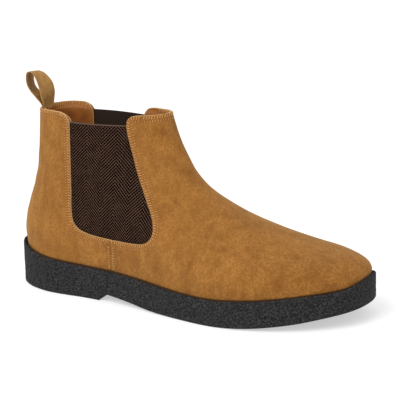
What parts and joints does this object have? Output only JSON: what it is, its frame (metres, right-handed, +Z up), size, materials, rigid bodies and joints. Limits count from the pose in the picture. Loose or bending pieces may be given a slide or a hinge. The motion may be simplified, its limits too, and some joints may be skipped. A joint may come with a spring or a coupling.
{
  "type": "chelsea boot",
  "caption": "Suede chelsea boot for the right foot, with elastic gores that let the shaft open, a heel pull loop and a thick moulded sole.",
  "frame": {"origin": "bottom centre of the bounding box, on the floor under the middle of the sole", "axes": "+X to the toe, +Y to the inner (medial) side, +Z up; the outer (lateral) side faces -Y"},
  "size_m": [0.3, 0.1099, 0.1747],
  "materials": {
    "suede": "brushed nap, matt",
    "elastic": "woven elastic, matt",
    "lining_leather": "unpolished lining leather",
    "webbing": "woven tape, matt",
    "crepe_rubber": "stippled, matt",
    "fibreboard": "pressed fibre, raw",
    "cork": "granulated cork",
    "spring_steel": "blued spring steel",
    "foam": "closed-cell foam"
  },
  "bodies": {
    "boot": {"outsole": "crepe_rubber", "insole_board": "fibreboard", "shank": "spring_steel", "forefoot_filler": "cork", "footbed_foam": "foam", "sock_liner": "lining_leather", "vamp": "suede", "vamp_lining": "lining_leather", "quarter_lateral_lower": "suede", "quarter_medial_lower": "suede", "quarter_lining_lower": "lining_leather", "heel_counter": "fibreboard", "toe_puff": "fibreboard", "gore_lateral": "elastic", "gore_medial": "elastic", "quarter_lateral_fold": "suede", "quarter_medial_fold": "suede", "quarter_lining_fold": "lining_leather"},
    "shaft_rear": {"quarter_lateral_upper": "suede", "quarter_medial_upper": "suede", "quarter_lining_upper": "lining_leather", "pull_loop_tails": "webbing"},
    "loop": {"pull_loop": "webbing"}
  },
  "joints": [
    {"name": "shaft_back", "type": "hinge", "parent": "boot", "child": "shaft_rear", "pos_m": [-0.092, 0.006, 0.061], "axis": [0, -1, 0], "range_deg": [0, 10], "stiffness_Nm_per_rad": 8, "deforming": ["gore_lateral", "gore_medial", "quarter_lateral_fold", "quarter_medial_fold", "quarter_lining_fold"]},
    {"name": "pull_loop_bend", "type": "hinge", "parent": "shaft_rear", "child": "loop", "pos_m": [-0.1245, 0.006, 0.1496], "axis": [0, -1, 0], "range_deg": [-75, 30], "stiffness_Nm_per_rad": 0.005}
  ]
}
